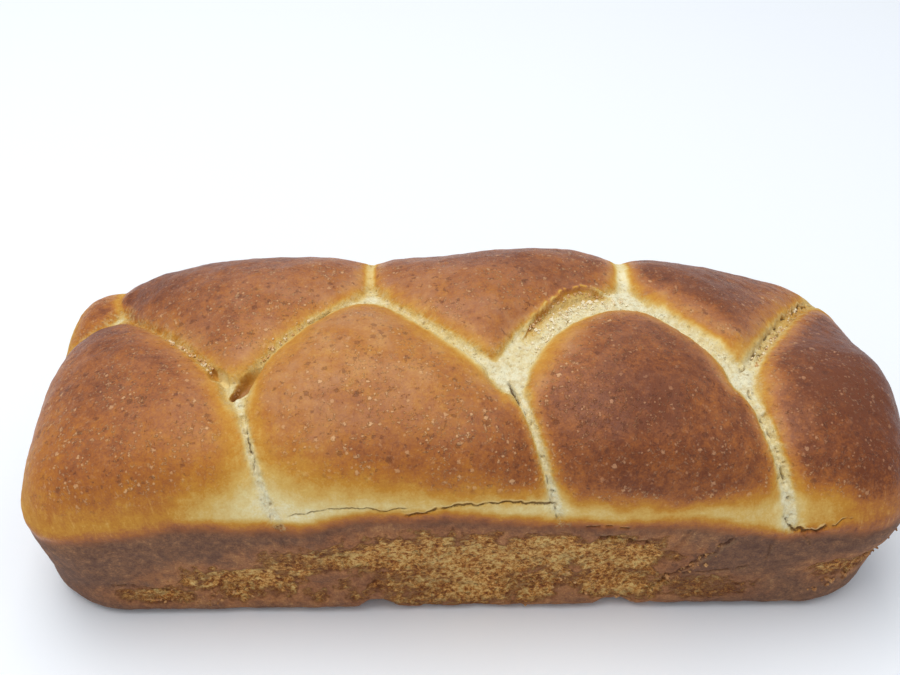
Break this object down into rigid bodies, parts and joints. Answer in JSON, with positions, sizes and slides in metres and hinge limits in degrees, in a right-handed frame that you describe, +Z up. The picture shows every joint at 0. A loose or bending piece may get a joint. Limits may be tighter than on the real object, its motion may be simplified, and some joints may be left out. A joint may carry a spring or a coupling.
{
  "type": "challah",
  "caption": "Whole plaited challah baked in a loaf tin, with golden-brown lobes, pale torn seams and a matte tin-side band. Rests on its flat base.",
  "frame": {"origin": "centre of the bounding box in plan, on the flat base", "axes": "+X along the loaf, +Z up, and the long side that the picture shows faces -Y"},
  "size_m": [0.3158, 0.1278, 0.0984],
  "materials": {
    "crust": "satin glazed crust on the lobes, matte crumb in the seams and on the tin sides"
  },
  "bodies": {
    "root": {"loaf": "crust"}
  },
  "joints": []
}
